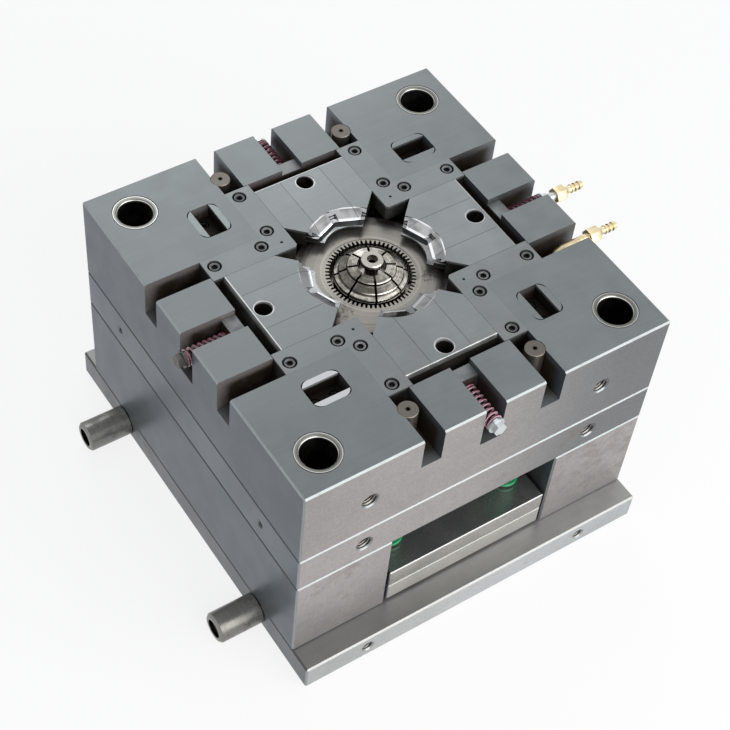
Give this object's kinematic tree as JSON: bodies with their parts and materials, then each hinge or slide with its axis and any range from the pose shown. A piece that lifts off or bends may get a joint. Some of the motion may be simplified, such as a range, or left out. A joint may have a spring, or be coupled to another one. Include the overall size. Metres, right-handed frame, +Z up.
{
  "type": "injection mould half",
  "caption": "Moving half of an injection mould with side-acting slides on springs, a collapsible core in a toothed ring, guide bushes and a sprung ejector set",
  "frame": {"origin": "centre of the clamp plate's underside, on the mould axis", "axes": "+Z up from the clamp plate to the parting face, -Y the open front of the ejector box, +X the side with the hose nipples"},
  "size_m": [0.439, 0.396, 0.249],
  "materials": {
    "plate_steel": "ground tool steel",
    "slide_steel": "fine ground hardened steel",
    "black_screws": "black oxide",
    "bronze": "milled bronze",
    "core_steel": "polished hardened steel",
    "pin_steel": "turned steel",
    "brass": "turned brass",
    "dark_steel": "oiled ground steel",
    "green_spring": "lacquered spring steel",
    "plated_steel": "zinc plated",
    "maroon_spring": "lacquered spring steel"
  },
  "bodies": {
    "mould_base": {"clamp_plate": "plate_steel", "spacer_left": "plate_steel", "spacer_right": "plate_steel", "support_plate": "plate_steel", "cavity_plate": "plate_steel", "guide_bushes": "slide_steel", "parting_locks": "slide_steel", "parting_lock_screws": "black_screws", "gib_front_left": "slide_steel", "gib_front_right": "slide_steel", "gib_back_right": "slide_steel", "gib_back_left": "slide_steel", "gib_screws": "black_screws", "wear_plates": "bronze", "core_block": "core_steel", "ring_insert": "core_steel", "core_screws": "black_screws", "support_pillars": "plate_steel", "pillar_screws": "black_screws", "base_screws": "black_screws", "rest_buttons": "plate_steel", "side_legs": "pin_steel", "side_leg_screws": "black_screws", "cooling_pipe": "brass", "cooling_nipple": "brass"},
    "ejector_set": {"ejector_plate": "plate_steel", "retainer_plate": "dark_steel", "ejector_screws": "black_screws", "return_pins": "pin_steel", "return_springs": "green_spring", "centre_pin": "core_steel"},
    "slide_front_set": {"slide_front": "slide_steel", "slide_front_insert": "slide_steel", "slide_front_rod": "plated_steel", "slide_front_spring": "maroon_spring"},
    "slide_right_set": {"slide_right": "slide_steel", "slide_right_insert": "slide_steel", "slide_right_rod": "plated_steel", "slide_right_spring": "maroon_spring", "slide_right_nipple": "brass"},
    "slide_back_set": {"slide_back": "slide_steel", "slide_back_insert": "slide_steel", "slide_back_rod": "plated_steel", "slide_back_spring": "maroon_spring"},
    "slide_left_set": {"slide_left": "slide_steel", "slide_left_insert": "slide_steel", "slide_left_rod": "pin_steel", "slide_left_spring": "maroon_spring"},
    "segment_1": {"core_segment_1": "core_steel"},
    "segment_2": {"core_segment_2": "core_steel"},
    "segment_3": {"core_segment_3": "core_steel"},
    "segment_4": {"core_segment_4": "core_steel"},
    "segment_5": {"core_segment_5": "core_steel"},
    "segment_6": {"core_segment_6": "core_steel"},
    "segment_7": {"core_segment_7": "core_steel"},
    "segment_8": {"core_segment_8": "core_steel"}
  },
  "joints": [
    {"name": "slide_front_travel", "type": "slide", "parent": "mould_base", "child": "slide_front_set", "axis": [0, 1, 0], "range_m": [0, 0.0229], "stiffness_N_per_m": 5000, "springref_m": -0.006, "deforming": ["slide_front_spring"]},
    {"name": "slide_right_travel", "type": "slide", "parent": "mould_base", "child": "slide_right_set", "axis": [-1, 0, 0], "range_m": [0, 0.0229], "stiffness_N_per_m": 5000, "springref_m": -0.006, "deforming": ["slide_right_spring"]},
    {"name": "slide_back_travel", "type": "slide", "parent": "mould_base", "child": "slide_back_set", "axis": [0, -1, 0], "range_m": [0, 0.0229], "stiffness_N_per_m": 5000, "springref_m": -0.006, "deforming": ["slide_back_spring"]},
    {"name": "slide_left_travel", "type": "slide", "parent": "mould_base", "child": "slide_left_set", "axis": [1, 0, 0], "range_m": [0, 0.0229], "stiffness_N_per_m": 5000, "springref_m": -0.006, "deforming": ["slide_left_spring"]},
    {"name": "ejector_travel", "type": "slide", "parent": "mould_base", "child": "ejector_set", "axis": [0, 0, 1], "range_m": [0, 0.04], "stiffness_N_per_m": 60000, "springref_m": -0.01, "deforming": ["return_springs"]},
    {"name": "segment_1_collapse", "type": "slide", "parent": "mould_base", "child": "segment_1", "axis": [-0.7337, -0.6794, 0], "range_m": [0, 0.0023]},
    {"name": "segment_2_collapse", "type": "slide", "parent": "mould_base", "child": "segment_2", "axis": [-0.0384, -0.9993, 0], "range_m": [0, 0.0023]},
    {"name": "segment_3_collapse", "type": "slide", "parent": "mould_base", "child": "segment_3", "axis": [0.6794, -0.7337, 0], "range_m": [0, 0.0023]},
    {"name": "segment_4_collapse", "type": "slide", "parent": "mould_base", "child": "segment_4", "axis": [0.9993, -0.0384, 0], "range_m": [0, 0.0023]},
    {"name": "segment_5_collapse", "type": "slide", "parent": "mould_base", "child": "segment_5", "axis": [0.7337, 0.6794, 0], "range_m": [0, 0.0023]},
    {"name": "segment_6_collapse", "type": "slide", "parent": "mould_base", "child": "segment_6", "axis": [0.0384, 0.9993, 0], "range_m": [0, 0.0023]},
    {"name": "segment_7_collapse", "type": "slide", "parent": "mould_base", "child": "segment_7", "axis": [-0.6794, 0.7337, 0], "range_m": [0, 0.0023]},
    {"name": "segment_8_collapse", "type": "slide", "parent": "mould_base", "child": "segment_8", "axis": [-0.9993, 0.0384, 0], "range_m": [0, 0.0023]}
  ],
  "couplings": [
    {"joint": "segment_1_collapse", "follows": "ejector_travel", "ratio": 0.0575},
    {"joint": "segment_2_collapse", "follows": "ejector_travel", "ratio": 0.0575},
    {"joint": "segment_3_collapse", "follows": "ejector_travel", "ratio": 0.0575},
    {"joint": "segment_4_collapse", "follows": "ejector_travel", "ratio": 0.0575},
    {"joint": "segment_5_collapse", "follows": "ejector_travel", "ratio": 0.0575},
    {"joint": "segment_6_collapse", "follows": "ejector_travel", "ratio": 0.0575},
    {"joint": "segment_7_collapse", "follows": "ejector_travel", "ratio": 0.0575},
    {"joint": "segment_8_collapse", "follows": "ejector_travel", "ratio": 0.0575}
  ]
}
